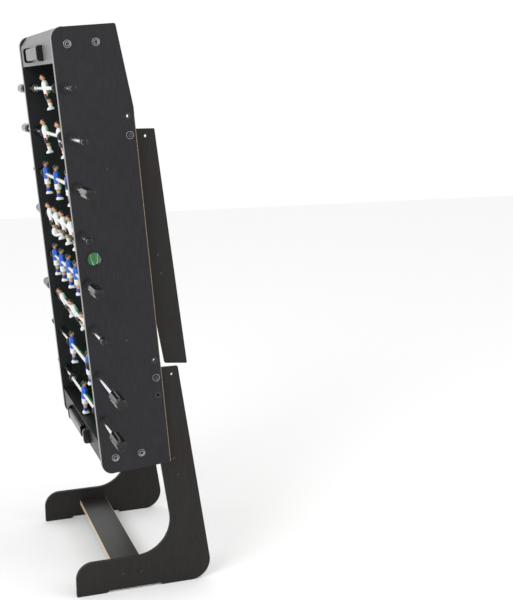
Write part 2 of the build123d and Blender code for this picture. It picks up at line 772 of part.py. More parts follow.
for number, spec in RODS.items():
    axis = IN_PLAY_TO_STORED * Pos(rod_along(number), spec["shift"], ROD_HEIGHT)
    place = Pos(axis.position.X, spec["shift"], axis.position.Z)
    facing = Rot(0, 0, 180) if spec["handle"] == 1 else Rot(0, 0, 0)
    team = Rot(0, -spec["hang"], 0) * facing
    figures = [Pos(0, y, 0) * team * player() for y in men_places(spec)]
    hardware = [rod_tube(spec), [grip(spec), end_cap(spec)], bumpers(spec)]
    if spec["handle"] == -1:
        hardware = [[mirrored(shape) for shape in group] for group in hardware]
    parts[f"rod_{number}"] = [place * shape for shape in hardware[0]]
    parts[f"men_{number}"] = [place * shape for shape in figures]
    parts[f"grip_{number}"] = [place * shape for shape in hardware[1]]
    parts[f"bumpers_{number}"] = [place * shape for shape in hardware[2]]

# origin: middle of the stored table's footprint box, on the floor
groups = {name: solids(shapes) for name, shapes in parts.items()}
box = Compound(children=[Compound(list(group.solids())) for group in groups.values()]).bounding_box()
centre = Pos(-(box.min.X + box.max.X) / 2, -(box.min.Y + box.max.Y) / 2, -box.min.Z)

os.makedirs("parts", exist_ok=True)
for name, shapes in parts.items():
    export_step(solids([centre * shape for shape in shapes]), f"parts/{name}.step")
    print(name, len(solids(shapes).solids()))

print("centre shift", centre.position)
print("box", box.min, box.max)
for number, spec in RODS.items():
    axis = centre * IN_PLAY_TO_STORED * Pos(rod_along(number), spec["shift"], ROD_HEIGHT)
    print("rod", number, axis.position, "slide", -travel(spec) - spec["shift"], travel(spec) - spec["shift"])
leg_axis = centre * IN_PLAY_TO_STORED * Pos(LEG_PIVOT_ALONG, 0, LEG_PIVOT_ABOVE)
print("leg axis", leg_axis.position)
print("tip axis", (centre * Pos(0, 0, PIVOT_HEIGHT)).position)
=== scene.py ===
import json
import math

import bmesh
import bpy
from mathutils import Matrix, Vector


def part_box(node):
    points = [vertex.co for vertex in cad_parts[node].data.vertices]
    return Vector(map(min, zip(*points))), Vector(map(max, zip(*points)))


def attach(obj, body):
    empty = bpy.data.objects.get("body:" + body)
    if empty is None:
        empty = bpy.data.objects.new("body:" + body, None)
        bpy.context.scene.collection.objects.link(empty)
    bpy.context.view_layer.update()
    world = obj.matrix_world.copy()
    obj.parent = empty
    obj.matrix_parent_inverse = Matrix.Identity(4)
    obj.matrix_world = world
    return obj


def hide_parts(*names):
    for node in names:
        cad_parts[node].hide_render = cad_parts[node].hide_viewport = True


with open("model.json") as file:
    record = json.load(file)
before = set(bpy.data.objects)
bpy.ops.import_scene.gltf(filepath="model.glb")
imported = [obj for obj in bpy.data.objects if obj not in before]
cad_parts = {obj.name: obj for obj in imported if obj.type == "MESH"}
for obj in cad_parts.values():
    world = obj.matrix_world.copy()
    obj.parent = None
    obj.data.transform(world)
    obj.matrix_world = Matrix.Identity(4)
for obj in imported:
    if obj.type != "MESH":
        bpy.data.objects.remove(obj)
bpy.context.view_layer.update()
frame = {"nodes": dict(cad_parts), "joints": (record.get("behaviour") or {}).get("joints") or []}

nodes = frame["nodes"]
joints = {joint["name"]: joint for joint in frame["joints"]}


# ---- Side panels ------------------------------------------------------------
# Two chipboard sides faced with black wood-print laminate, sawn to shape with
# rounded corners and drilled for the rods, the hinge bolts and the lock pins.
# The laminate stops just short of the underside, which shows a line of board.
hinge = Vector(joints["cabinet_tilt"]["pos_m"])
stored_lean = math.radians(-joints["cabinet_tilt"]["range_deg"][1])
hinge_along, hinge_above = 0.252, 0.017
cabinet_length, cabinet_height = 1.210, 0.195
panel_outer_half = 0.315
flat_to_stored = (
    Matrix.Translation(hinge)
    @ Matrix.Rotation(stored_lean, 4, "Y")
    @ Matrix.Translation((-hinge_along, 0, -hinge_above))
)


def new_finish(name):
    """A material with one principled shader, and its tree."""
    finish = bpy.data.materials.new(name)
    finish.use_nodes = True
    tree = finish.node_tree
    return finish, tree, tree.nodes["Principled BSDF"]


def lay_pattern(tree, centre, turn_y, stretch):
    """Object coordinates centred on a board, turned level with it and stretched along its grain."""
    where = tree.nodes.new("ShaderNodeTexCoord")
    carry = tree.nodes.new("ShaderNodeVectorMath")
    carry.operation = "SUBTRACT"
    carry.inputs[1].default_value = centre
    tree.links.new(where.outputs["Object"], carry.inputs[0])
    turn = tree.nodes.new("ShaderNodeVectorRotate")
    turn.rotation_type = "Y_AXIS"
    turn.inputs["Angle"].default_value = turn_y
    tree.links.new(carry.outputs[0], turn.inputs["Vector"])
    scale = tree.nodes.new("ShaderNodeVectorMath")
    scale.operation = "MULTIPLY"
    scale.inputs[1].default_value = stretch
    tree.links.new(turn.outputs[0], scale.inputs[0])
    return turn.outputs[0], scale.outputs[0]


def noise(tree, vector, scale, detail=3.0, roughness=0.5):
    made = tree.nodes.new("ShaderNodeTexNoise")
    made.inputs["Scale"].default_value = scale
    made.inputs["Detail"].default_value = detail
    made.inputs["Roughness"].default_value = roughness
    tree.links.new(vector, made.inputs["Vector"])
    return made.outputs["Fac"]


def spread(tree, value, low, high, to_low, to_high):
    """Map a value from one range to another."""
    made = tree.nodes.new("ShaderNodeMapRange")
    made.inputs["From Min"].default_value = low
    made.inputs["From Max"].default_value = high
    made.inputs["To Min"].default_value = to_low
    made.inputs["To Max"].default_value = to_high
    tree.links.new(value, made.inputs["Value"])
    return made.outputs["Result"]


def between(tree, value, dark, light):
    """A colour between two, chosen by a value from 0 to 1."""
    made = tree.nodes.new("ShaderNodeMix")
    made.data_type = "RGBA"
    made.inputs["A"].default_value = (*dark, 1)
    made.inputs["B"].default_value = (*light, 1)
    tree.links.new(value, made.inputs["Factor"])
    return made.outputs["Result"]


def relief(tree, shader, value, depth, strength=1.0):
    made = tree.nodes.new("ShaderNodeBump")
    made.inputs["Distance"].default_value = depth
    made.inputs["Strength"].default_value = strength
    tree.links.new(value, made.inputs["Height"])
    tree.links.new(made.outputs["Normal"], shader.inputs["Normal"])


def printed_laminate(
    name, dark, light, centre, turn_y=0.0, stretch=(9, 9, 0.5), gloss=0.42, pores=0.00012, shine=0.22
):
    """Wood-print laminate: long faint grain, short pores that catch light, a soft sheen."""
    finish, tree, shader = new_finish(name)
    level, drawn = lay_pattern(tree, centre, turn_y, stretch)
    grain = noise(tree, drawn, 42.0, 5.0, 0.62)
    cloud = noise(tree, level, 3.2, 2.0)
    mixed = tree.nodes.new("ShaderNodeMath")
    mixed.operation = "MULTIPLY_ADD"
    mixed.inputs[1].default_value = 0.45
    tree.links.new(cloud, mixed.inputs[0])
    tree.links.new(spread(tree, grain, 0.3, 0.72, -0.12, 0.72), mixed.inputs[2])
    tree.links.new(between(tree, mixed.outputs[0], dark, light), shader.inputs["Base Color"])
    fine = noise(tree, drawn, 190.0, 3.0, 0.7)
    tree.links.new(spread(tree, fine, 0.3, 0.7, gloss - 0.06, gloss + 0.1), shader.inputs["Roughness"])
    shader.inputs["Specular IOR Level"].default_value = shine
    relief(tree, shader, fine, pores)
    return finish


def cover(node, finish):
    """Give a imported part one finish."""
    part = nodes[node]
    part.data.materials.clear()
    part.data.materials.append(finish)
    for face in part.data.polygons:
        face.material_index = 0


cabinet_middle = flat_to_stored @ Vector((cabinet_length / 2, 0, cabinet_height / 2))
panel_black = printed_laminate(
    "side panel black laminate",
    (0.0085, 0.0083, 0.0100),
    (0.0210, 0.0205, 0.0240),
    cabinet_middle,
    turn_y=-stored_lean,
    stretch=(0.6, 9, 9),
    gloss=0.40,
)
bare_line = 0.0014
bare_stops_at = 0.37
tree = panel_black.node_tree
shader = tree.nodes["Principled BSDF"]
level, _ = lay_pattern(tree, cabinet_middle, -stored_lean, (1, 1, 1))
parts = tree.nodes.new("ShaderNodeSeparateXYZ")
tree.links.new(level, parts.inputs[0])
low_edge = tree.nodes.new("ShaderNodeMath")
low_edge.operation = "LESS_THAN"
low_edge.inputs[1].default_value = bare_line - cabinet_height / 2
tree.links.new(parts.outputs["Z"], low_edge.inputs[0])
straight = tree.nodes.new("ShaderNodeMath")
straight.operation = "LESS_THAN"
straight.inputs[1].default_value = bare_stops_at
tree.links.new(parts.outputs["X"], straight.inputs[0])
bare = tree.nodes.new("ShaderNodeMath")
bare.operation = "MULTIPLY"
tree.links.new(low_edge.outputs[0], bare.inputs[0])
tree.links.new(straight.outputs[0], bare.inputs[1])
chips = noise(tree, level, 320.0, 3.0, 0.7)
sawn = between(tree, spread(tree, chips, 0.3, 0.7, 0, 1), (0.09, 0.065, 0.045), (0.42, 0.32, 0.22))
choose = tree.nodes.new("ShaderNodeMix")
choose.data_type = "RGBA"
faced = shader.inputs["Base Color"].links[0].from_socket
tree.links.new(bare.outputs[0], choose.inputs["Factor"])
tree.links.new(faced, choose.inputs["A"])
tree.links.new(sawn, choose.inputs["B"])
tree.links.new(choose.outputs["Result"], shader.inputs["Base Color"])
cover("side_panel_near", panel_black)
cover("side_panel_far", panel_black)


# ---- Light edging -------------------------------------------------------------
# A thin plastic edging ironed on the play edge of both sides, running round the
# rounded corners. Its mid grey is partly a painted highlight, and its faint green
# cast is a painted reflection of the field.
def moulded(name, colour, gloss=0.35, mottle=0.08, grain=900.0, depth=0.00003, sheen=0.5):
    """Moulded or extruded plastic: nearly even colour, fine skin texture."""
    finish, tree, shader = new_finish(name)
    where = tree.nodes.new("ShaderNodeTexCoord")
    soft = noise(tree, where.outputs["Object"], 26.0, 3.0)
    low = tuple(c * (1 - mottle) for c in colour)
    high = tuple(min(1.0, c * (1 + mottle)) for c in colour)
    tree.links.new(between(tree, soft, low, high), shader.inputs["Base Color"])
    skin = noise(tree, where.outputs["Object"], grain, 2.0)
    tree.links.new(spread(tree, skin, 0.3, 0.7, gloss - 0.05, gloss + 0.07), shader.inputs["Roughness"])
    shader.inputs["Specular IOR Level"].default_value = sheen
    relief(tree, shader, skin, depth)
    return finish


# painted reflection: the edging's pale grey and faint green cast stand partly for light caught on the band
edging = moulded("edging grey with painted reflection", (0.22, 0.23, 0.215), gloss=0.34, mottle=0.10)
cover("edge_bands", edging)


# ---- End boards, shelves and goal walls ----------------------------------------
# Chipboard ends between the two sides: an outer board with the round ball return,
# a bevelled shelf over it, and the goal wall inside with its mouth. The shelf's
# grey is partly a painted sheen at the folding-leg end, and it darkens to near
# black towards the stand end as painted shade.
# painted sheen: the shelf's grey print stands partly for light reflected off a darker laminate
shelf_painted_sheen_and_shade = printed_laminate(
    "shelf laminate with painted sheen and shade",
    (0.140, 0.135, 0.142),
    (0.215, 0.208, 0.216),
    cabinet_middle,
    turn_y=-stored_lean,
    stretch=(9, 0.6, 9),
    gloss=0.36,
    shine=0.2,
)
end_dark = printed_laminate(
    "end board dark laminate",
    (0.0085, 0.0083, 0.0082),
    (0.0190, 0.0185, 0.0180),
    cabinet_middle,
    turn_y=-stored_lean,
    stretch=(9, 0.6, 9),
)
goal_black = printed_laminate(
    "goal wall black laminate",
    (0.0035, 0.0035, 0.0035),
    (0.0075, 0.0075, 0.0075),
    cabinet_middle,
    turn_y=-stored_lean,
    stretch=(9, 0.6, 9),
    gloss=0.5,
)
tree = shelf_painted_sheen_and_shade.node_tree
shader = tree.nodes["Principled BSDF"]
level, _ = lay_pattern(tree, cabinet_middle, -stored_lean, (1, 1, 1))
parts = tree.nodes.new("ShaderNodeSeparateXYZ")
tree.links.new(level, parts.inputs[0])
# painted shade: the shelf's colour darkens to near black towards the stand end
painted_shade_to_stand_end = tree.nodes.new("ShaderNodeMix")
painted_shade_to_stand_end.data_type = "RGBA"
painted_shade_to_stand_end.inputs["A"].default_value = (0.012, 0.012, 0.0115, 1)
faced = shader.inputs["Base Color"].links[0].from_socket
tree.links.new(spread(tree, parts.outputs["X"], -0.4, 0.4, 0, 1), painted_shade_to_stand_end.inputs["Factor"])
tree.links.new(faced, painted_shade_to_stand_end.inputs["B"])
tree.links.new(painted_shade_to_stand_end.outputs["Result"], shader.inputs["Base Color"])
cover("end_shelves", shelf_painted_sheen_and_shade)
cover("end_panels", end_dark)
cover("goal_walls", goal_black)


# ---- Corner posts, ball trays and field board -------------------------------------
# Softwood blocks in the corners that take the end bolts, thin moulded trays
# under the goals, and the raw board that carries the playing field.
def sawn_board(name, dark, light, centre, turn_y=0.0, stretch=(1, 1, 8)):
    """Bare sawn board: warm chips and fibres, quite matt."""
    finish, tree, shader = new_finish(name)
    level, drawn = lay_pattern(tree, centre, turn_y, stretch)
    fibre = noise(tree, drawn, 260.0, 4.0, 0.65)
    shade = spread(tree, fibre, 0.3, 0.7, 0, 1)
    tree.links.new(between(tree, shade, dark, light), shader.inputs["Base Color"])
    shader.inputs["Roughness"].default_value = 0.82
    relief(tree, shader, fibre, 0.0002)
    return finish


bare_board = sawn_board("bare board", (0.36, 0.25, 0.15), (0.62, 0.47, 0.31), cabinet_middle, -stored_lean)
cover("corner_posts", bare_board)
cover("playfield_board", bare_board)
cover("ball_trays", moulded("ball tray plastic", (0.42, 0.39, 0.34), gloss=0.45))


# ---- Playing field ----------------------------------------------------------------
# A green printed hardboard sheet: mown stripes, with white halfway line, centre
# circle and a penalty box at each goal.
field_white = (0.78, 0.80, 0.76)
field_dark = (0.006, 0.170, 0.036)
field_light = (0.010, 0.240, 0.055)
line_width = 0.0040
centre_circle = 0.075
box_depth = 0.125
box_half_width = 0.150
centre_spot = 0.009
stripe_waves = 36.5
field_half = cabinet_length / 2 - 0.0885
grass, tree, shader = new_finish("green playing field")
level, _ = lay_pattern(tree, cabinet_middle, -stored_lean, (1, 1, 1))
split = tree.nodes.new("ShaderNodeSeparateXYZ")
tree.links.new(level, split.inputs[0])


def sum_of(operation, first, second):
    """One Math node; each input is a socket or a number."""
    made = tree.nodes.new("ShaderNodeMath")
    made.operation = operation
    for index, value in enumerate((first, second)):
        if value is None:
            continue
        if isinstance(value, (int, float)):
            made.inputs[index].default_value = value
        else:
            tree.links.new(value, made.inputs[index])
    return made.outputs[0]


def line_at(distance):
    """1 where the distance to the line's middle is under half its width."""
    return sum_of("LESS_THAN", sum_of("ABSOLUTE", distance, None), line_width / 2)


along = split.outputs["X"]
across = split.outputs["Y"]
from_halfway = sum_of("ABSOLUTE", along, None)
from_middle = sum_of("ABSOLUTE", across, None)
round_centre = sum_of(
    "SQRT", sum_of("ADD", sum_of("MULTIPLY", along, along), sum_of("MULTIPLY", across, across)), None
)
front = field_half - box_depth
box_front = sum_of(
    "MULTIPLY",
    line_at(sum_of("SUBTRACT", from_halfway, front)),
    sum_of("LESS_THAN", from_middle, box_half_width),
)
box_side = sum_of(
    "MULTIPLY",
    line_at(sum_of("SUBTRACT", from_middle, box_half_width)),
    sum_of("GREATER_THAN", from_halfway, front),
)
marks = line_at(along)
for mark in (
    line_at(sum_of("SUBTRACT", round_centre, centre_circle)),
    sum_of("LESS_THAN", round_centre, centre_spot),
    box_front,
    box_side,
):
    marks = sum_of("MAXIMUM", marks, mark)
stripe = sum_of("GREATER_THAN", sum_of("SINE", sum_of("MULTIPLY", along, stripe_waves), None), 0.0)
blades = noise(tree, level, 900.0, 3.0)
tone = sum_of("ADD", sum_of("MULTIPLY", stripe, 0.55), sum_of("MULTIPLY", blades, 0.45))
turf = between(tree, tone, field_dark, field_light)
paint = tree.nodes.new("ShaderNodeMix")
paint.data_type = "RGBA"
paint.inputs["B"].default_value = (*field_white, 1)
tree.links.new(marks, paint.inputs["Factor"])
tree.links.new(turf, paint.inputs["A"])
tree.links.new(paint.outputs["Result"], shader.inputs["Base Color"])
shader.inputs["Roughness"].default_value = 0.45
relief(tree, shader, blades, 0.00005)
cover("playfield_sheet", grass)


# ---- Bearings, throw-in rings and bumpers ----------------------------------------
# Black moulded bushes with a flange on the outside of each panel, a ring round
# each ball throw-in hole, and soft rubber bumpers that stop the rods.
rod_count = 8
bearing_black = moulded("bearing black plastic", (0.0055, 0.0055, 0.006), gloss=0.26, sheen=0.35)
rubber = moulded("bumper rubber", (0.016, 0.016, 0.016), gloss=0.62, grain=500.0, depth=0.00008, sheen=0.35)
cover("bearings", bearing_black)
cover("throw_in_bezels", bearing_black)
for number in range(1, rod_count + 1):
    cover(f"bumpers_{number}", rubber)
cover("stop_pads", rubber)


# ---- Score counters -------------------------------------------------------------------
# A moulded black bracket strip on each end shelf with a bright steel rail, and
# ten white and ten black beads that slide along it. The white beads are coloured
# mid grey, partly as painted shade, and the gaps between beads are painted shade.
counter_black = moulded("counter black plastic", (0.0050, 0.0050, 0.0056), gloss=0.24, sheen=0.4)
cover("scorer_frames", counter_black)
bead_pitch = 0.0096
gap_shade_fraction = 0.14


def bead_plastic(name, colour, groove):
    """Bead plastic with painted shade, in the colour groove, over the gap between one bead and the next."""
    finish = moulded(name, colour, gloss=0.2, mottle=0.05, sheen=0.6)
    tree = finish.node_tree
    shader = tree.nodes["Principled BSDF"]
    where = tree.nodes.new("ShaderNodeTexCoord")
    parts = tree.nodes.new("ShaderNodeSeparateXYZ")
    tree.links.new(where.outputs["Object"], parts.inputs[0])
    count = sum_of("MULTIPLY", sum_of("SUBTRACT", parts.outputs["Y"], hinge.y + 0.019), 1 / bead_pitch)
    across_bead = sum_of("ABSOLUTE", sum_of("SUBTRACT", sum_of("FRACT", count, None), 0.5), None)
    in_painted_gap_shade = spread(tree, across_bead, 0.5 - gap_shade_fraction, 0.5, 0, 1)
    # painted shade: a dark band over each gap between one bead and the next
    shade = tree.nodes.new("ShaderNodeMix")
    shade.data_type = "RGBA"
    shade.inputs["B"].default_value = (*groove, 1)
    faced = shader.inputs["Base Color"].links[0].from_socket
    tree.links.new(in_painted_gap_shade, shade.inputs["Factor"])
    tree.links.new(faced, shade.inputs["A"])
    tree.links.new(shade.outputs["Result"], shader.inputs["Base Color"])
    return finish


# painted shade: the white beads are coloured mid grey, partly standing for shade
white_bead_grey_painted_shade = bead_plastic("white bead plastic with painted shade", (0.26, 0.265, 0.26), (0.02, 0.02, 0.02))
bead_black = bead_plastic("bead black plastic", (0.0055, 0.0055, 0.006), (0.002, 0.002, 0.002))
for end in ("leg_end", "stand_end"):
    cover(f"beads_white_{end}", white_bead_grey_painted_shade)
    cover(f"beads_black_{end}", bead_black)


# ---- Stand ------------------------------------------------------------------------------
# Two black-brown laminated boards with long feet, joined by a wide stretcher at
# the foot and one on the upright; the stretchers' long edges are bare board.
stand_low, stand_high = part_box("stand_panel_near")
stand_middle = (stand_low + stand_high) / 2
stand_black = printed_laminate(
    "stand black laminate",
    (0.0085, 0.0078, 0.0070),
    (0.0195, 0.0178, 0.0160),
    stand_middle,
    turn_y=math.radians(-8),
    stretch=(9, 9, 0.5),
    gloss=0.46,
)
cover("stand_panel_near", stand_black)
cover("stand_panel_far", stand_black)


def stretcher_board(name, node, lean, half_width, axis):
    """Laminated faces with bare sawn long edges."""
    low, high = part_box(node)
    middle = (low + high) / 2
    dark, light = (0.0105, 0.0100, 0.0092), (0.0230, 0.0218, 0.0200)
    finish = printed_laminate(name, dark, light, middle, lean, stretch=(9, 0.5, 9), gloss=0.34, shine=0.4)
    tree = finish.node_tree
    shader = tree.nodes["Principled BSDF"]
    level, drawn = lay_pattern(tree, middle, lean, (1, 6, 1))
    parts = tree.nodes.new("ShaderNodeSeparateXYZ")
    tree.links.new(level, parts.inputs[0])
    out = tree.nodes.new("ShaderNodeMath")
    out.operation = "ABSOLUTE"
    tree.links.new(parts.outputs[axis], out.inputs[0])
    edge = tree.nodes.new("ShaderNodeMath")
    edge.operation = "GREATER_THAN"
    edge.inputs[1].default_value = half_width - 0.0006
    tree.links.new(out.outputs[0], edge.inputs[0])
    chips = noise(tree, drawn, 240.0, 4.0, 0.7)
    bare = between(tree, spread(tree, chips, 0.3, 0.7, 0, 1), (0.40, 0.28, 0.17), (0.78, 0.62, 0.44))
    choose = tree.nodes.new("ShaderNodeMix")
    choose.data_type = "RGBA"
    faced = shader.inputs["Base Color"].links[0].from_socket
    tree.links.new(edge.outputs[0], choose.inputs["Factor"])
    tree.links.new(faced, choose.inputs["A"])
    tree.links.new(bare, choose.inputs["B"])
    tree.links.new(choose.outputs["Result"], shader.inputs["Base Color"])
    cover(node, finish)


stretcher_board("foot stretcher", "foot_stretcher", 0.0, 0.0435, "X")
stretcher_board("upper stretcher", "upper_stretcher", math.radians(-13), 0.038, "Z")


# ---- Folding legs ----------------------------------------------------------------------
# Two tapering laminated legs that swing out for play, held together by a
# laminated stretcher whose long edges are bare board.
leg_black = printed_laminate(
    "leg black laminate",
    (0.0080, 0.0075, 0.0070),
    (0.0190, 0.0178, 0.0165),
    stand_middle,
    turn_y=math.radians(-3),
    stretch=(9, 9, 0.5),
    gloss=0.44,
)
cover("leg_near", leg_black)
cover("leg_far", leg_black)
stretcher_board("leg stretcher", "leg_stretcher", math.radians(-8), 0.046, "Z")


# ---- Rods ---------------------------------------------------------------------------------
# Eight chromed steel tubes through the bearings; the two goalkeeper rods carry
# a stop collar beside each bumper.
def plated(name, colour, gloss, streak):
    """Bright plated steel with faint drawing marks along the tube."""
    finish, tree, shader = new_finish(name)
    where = tree.nodes.new("ShaderNodeTexCoord")
    pull = tree.nodes.new("ShaderNodeVectorMath")
    pull.operation = "MULTIPLY"
    pull.inputs[1].default_value = streak
    tree.links.new(where.outputs["Object"], pull.inputs[0])
    marks = noise(tree, pull.outputs[0], 300.0, 3.0)
    shader.inputs["Metallic"].default_value = 1.0
    low = tuple(c * 0.94 for c in colour)
    tree.links.new(between(tree, marks, low, colour), shader.inputs["Base Color"])
    tree.links.new(spread(tree, marks, 0.3, 0.7, gloss - 0.04, gloss + 0.06), shader.inputs["Roughness"])
    return finish


chrome = plated("chromed steel tube", (0.86, 0.87, 0.88), 0.16, (6, 0.3, 6))
for number in range(1, rod_count + 1):
    cover(f"rod_{number}", chrome)


# ---- Bolts, screws and lock bushes ------------------------------------------------------------
# Socket bolts on wide washers at the board ends and hinges, flanged bushes in
# the lock holes, and small countersunk screws along the boards.
bolt_steel = plated("blackened bolt steel", (0.055, 0.055, 0.058), 0.38, (1, 1, 1))
for node in ("cabinet_fasteners", "stand_fasteners", "leg_fasteners"):
    cover(node, bolt_steel)


def turned(name, outline, steps=40):
    """A closed solid turned about Z from (radius, height) points, first and last on the axis."""
    made = bmesh.new()
    rings = []
    for radius, height in outline:
        if radius == 0:
            rings.append([made.verts.new((0, 0, height))])
            continue
        ring = []
        for step in range(steps):
            angle = 2 * math.pi * step / steps
            ring.append(made.verts.new((radius * math.cos(angle), radius * math.sin(angle), height)))
        rings.append(ring)
    for low, high in zip(rings, rings[1:]):
        for step in range(steps):
            after = (step + 1) % steps
            if len(low) == 1:
                made.faces.new((low[0], high[after], high[step]))
            elif len(high) == 1:
                made.faces.new((low[step], low[after], high[0]))
            else:
                made.faces.new((low[step], low[after], high[after], high[step]))
    bmesh.ops.recalc_face_normals(made, faces=made.faces)
    mesh = bpy.data.meshes.new(name)
    made.to_mesh(mesh)
    made.free()
    return mesh


def repeat_tree(name):
    """Geometry Nodes: one piece set down on every point, turned as the point says."""
    tree = bpy.data.node_groups.new(name, "GeometryNodeTree")
    tree.interface.new_socket("Places", in_out="INPUT", socket_type="NodeSocketGeometry")
    tree.interface.new_socket("Piece", in_out="INPUT", socket_type="NodeSocketObject")
    tree.interface.new_socket("Finish", in_out="INPUT", socket_type="NodeSocketMaterial")
    tree.interface.new_socket("Size", in_out="INPUT", socket_type="NodeSocketFloat")
    tree.interface.new_socket("Pieces", in_out="OUTPUT", socket_type="NodeSocketGeometry")
    come = tree.nodes.new("NodeGroupInput")
    info = tree.nodes.new("GeometryNodeObjectInfo")
    turn = tree.nodes.new("GeometryNodeInputNamedAttribute")
    turn.data_type = "FLOAT_VECTOR"
    turn.inputs["Name"].default_value = "turn"
    place = tree.nodes.new("GeometryNodeInstanceOnPoints")
    real = tree.nodes.new("GeometryNodeRealizeInstances")
    paint = tree.nodes.new("GeometryNodeSetMaterial")
    leave = tree.nodes.new("NodeGroupOutput")
    tree.links.new(come.outputs["Places"], place.inputs["Points"])
    tree.links.new(come.outputs["Piece"], info.inputs["Object"])
    tree.links.new(info.outputs["Geometry"], place.inputs["Instance"])
    tree.links.new(turn.outputs["Attribute"], place.inputs["Rotation"])
    tree.links.new(come.outputs["Size"], place.inputs["Scale"])
    tree.links.new(place.outputs["Instances"], real.inputs["Geometry"])
    tree.links.new(real.outputs["Geometry"], paint.inputs["Geometry"])
    tree.links.new(come.outputs["Finish"], paint.inputs["Material"])
    tree.links.new(paint.outputs["Geometry"], leave.inputs["Pieces"])
    return tree


set_down = repeat_tree("set pieces down")


def set_out(name, piece_mesh, places, finish, size=1.0):
    """A plain mesh of the piece repeated at (point, turn) places."""
    pattern = bpy.data.objects.new(name + " pattern", piece_mesh)
    bpy.context.scene.collection.objects.link(pattern)
    points = bpy.data.meshes.new(name + " places")
    points.from_pydata([place for place, _ in places], [], [])
    turns = points.attributes.new("turn", "FLOAT_VECTOR", "POINT")
    for index, (_, turn) in enumerate(places):
        turns.data[index].vector = turn
    row = bpy.data.objects.new(name + " row", points)
    bpy.context.scene.collection.objects.link(row)
    modifier = row.modifiers.new("set out", "NODES")
    modifier.node_group = set_down
    sockets = set_down.interface.items_tree
    inputs = {item.name: item.identifier for item in sockets if item.in_out == "INPUT"}
    modifier[inputs["Piece"]] = pattern
    modifier[inputs["Finish"]] = finish
    modifier[inputs["Size"]] = size
    evaluated = row.evaluated_get(bpy.context.evaluated_depsgraph_get())
    mesh = bpy.data.meshes.new_from_object(evaluated)
    mesh.name = name
    bpy.data.objects.remove(row)
    bpy.data.objects.remove(pattern)
    result = bpy.data.objects.new(name, mesh)
    bpy.context.scene.collection.objects.link(result)
    for face in mesh.polygons:
        face.use_smooth = True
    return result


ring_pale = plated("washer rim", (0.40, 0.40, 0.41), 0.34, (1, 1, 1))
washer_rim = turned(
    "washer rim",
    [
        (0, 0),
        (0.0100, 0),
        (0.0104, 0.0006),
        (0.0104, 0.0017),
        (0.0100, 0.0021),
        (0.0094, 0.0021),
        (0.0090, 0.0016),
        (0, 0.0016),
    ],
)
head_rim = turned(
    "bolt head rim",
    [
        (0, 0.0040),
        (0.0058, 0.0040),
        (0.0062, 0.0044),
        (0.0062, 0.0049),
        (0.0058, 0.0052),
        (0.0053, 0.0052),
        (0.0050, 0.0048),
        (0.0046, 0.0044),
        (0, 0.0044),
    ],
)
# painted shadow: a flat dark disc on each bolt head stands for the shade inside its hex socket
socket_shadow_disc = turned("socket", [(0, 0.0040), (0.0027, 0.0040), (0.0027, 0.0046), (0, 0.0046)], 6)
end_inset = 0.044
pivot_gap = 0.0003
bolt_places = []
for along_bolt in (end_inset, cabinet_length - end_inset):
    for above_bolt in (0.081, 0.155):
        bolt_places.append((along_bolt, above_bolt, 0.0))
for along_bolt, above_bolt in ((hinge_along, hinge_above), (0.921, 0.018)):
    bolt_places.append((along_bolt, above_bolt, pivot_gap))
facing = []
for side in (-1, 1):
    for along_bolt, above_bolt, gap in bolt_places:
        spot = flat_to_stored @ Vector((along_bolt, side * (panel_outer_half + gap), above_bolt))
        facing.append((spot, (-side * math.pi / 2, 0, 0)))
cabinet_bolts = [place for index, place in enumerate(facing) if index % 6 < 4]
hinge_bolts = [place for index, place in enumerate(facing) if index % 6 == 4]
leg_bolts = [place for index, place in enumerate(facing) if index % 6 == 5]
socket_painted_shadow = moulded("socket shadow", (0.004, 0.004, 0.004), gloss=0.6)
for body, places in (("cabinet", cabinet_bolts), ("stand", hinge_bolts), ("leg_frame", leg_bolts)):
    for label, shape, finish in (
        ("washer_rims", washer_rim, ring_pale),
        ("head_rims", head_rim, ring_pale),
        ("sockets", socket_shadow_disc, socket_painted_shadow),
    ):
        fitted = set_out(f"{body}_{label}", shape, places, finish)
        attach(fitted, body)


# ---- Players ---------------------------------------------------------------------------------
# Moulded toy men pinned to the rods, arms by their sides: one team in white
# shirts and dark shorts, the other in blue shirts and white shorts.
def flow(rows, steps=4):
    """Extra rows between the given ones, on a smooth curve through them."""
    rows = [tuple(map(float, row)) for row in rows]
    full = []
    for index in range(len(rows) - 1):
        before = rows[max(index - 1, 0)]
        first = rows[index]
        second = rows[index + 1]
        after = rows[min(index + 2, len(rows) - 1)]
        for step in range(steps):
            t = step / steps
            full.append(
                tuple(
                    0.5
                    * (
                        2 * b
                        + (c - a) * t
                        + (2 * a - 5 * b + 4 * c - d) * t * t
                        + (3 * b - a - 3 * c + d) * t * t * t
                    )
                    for a, b, c, d in zip(before, first, second, after)
                )
            )
    full.append(rows[-1])
    return full


def limb(made, layer, rows, colour, steps=4, around=14, square=2.0):
    """A closed rounded form through rows of (x, y, z, half depth, half width)."""
    rings = []
    for x, y, z, depth, width in flow(rows, steps):
        ring = []
        for step in range(around):
            angle = 2 * math.pi * step / around
            c, s = math.cos(angle), math.sin(angle)
            reach = (abs(c) ** square + abs(s) ** square) ** (-1 / square)
            vert = made.verts.new((x + depth * c * reach, y + width * s * reach, z))
            vert[layer] = (*colour, 1)
            ring.append(vert)
        rings.append(ring)
    faces = []
    for low, high in zip(rings, rings[1:]):
        for step in range(around):
            after = (step + 1) % around
            faces.append(made.faces.new((low[step], low[after], high[after], high[step])))
    faces.append(made.faces.new(rings[0]))
    faces.append(made.faces.new(list(reversed(rings[-1]))))
    bmesh.ops.recalc_face_normals(made, faces=faces)


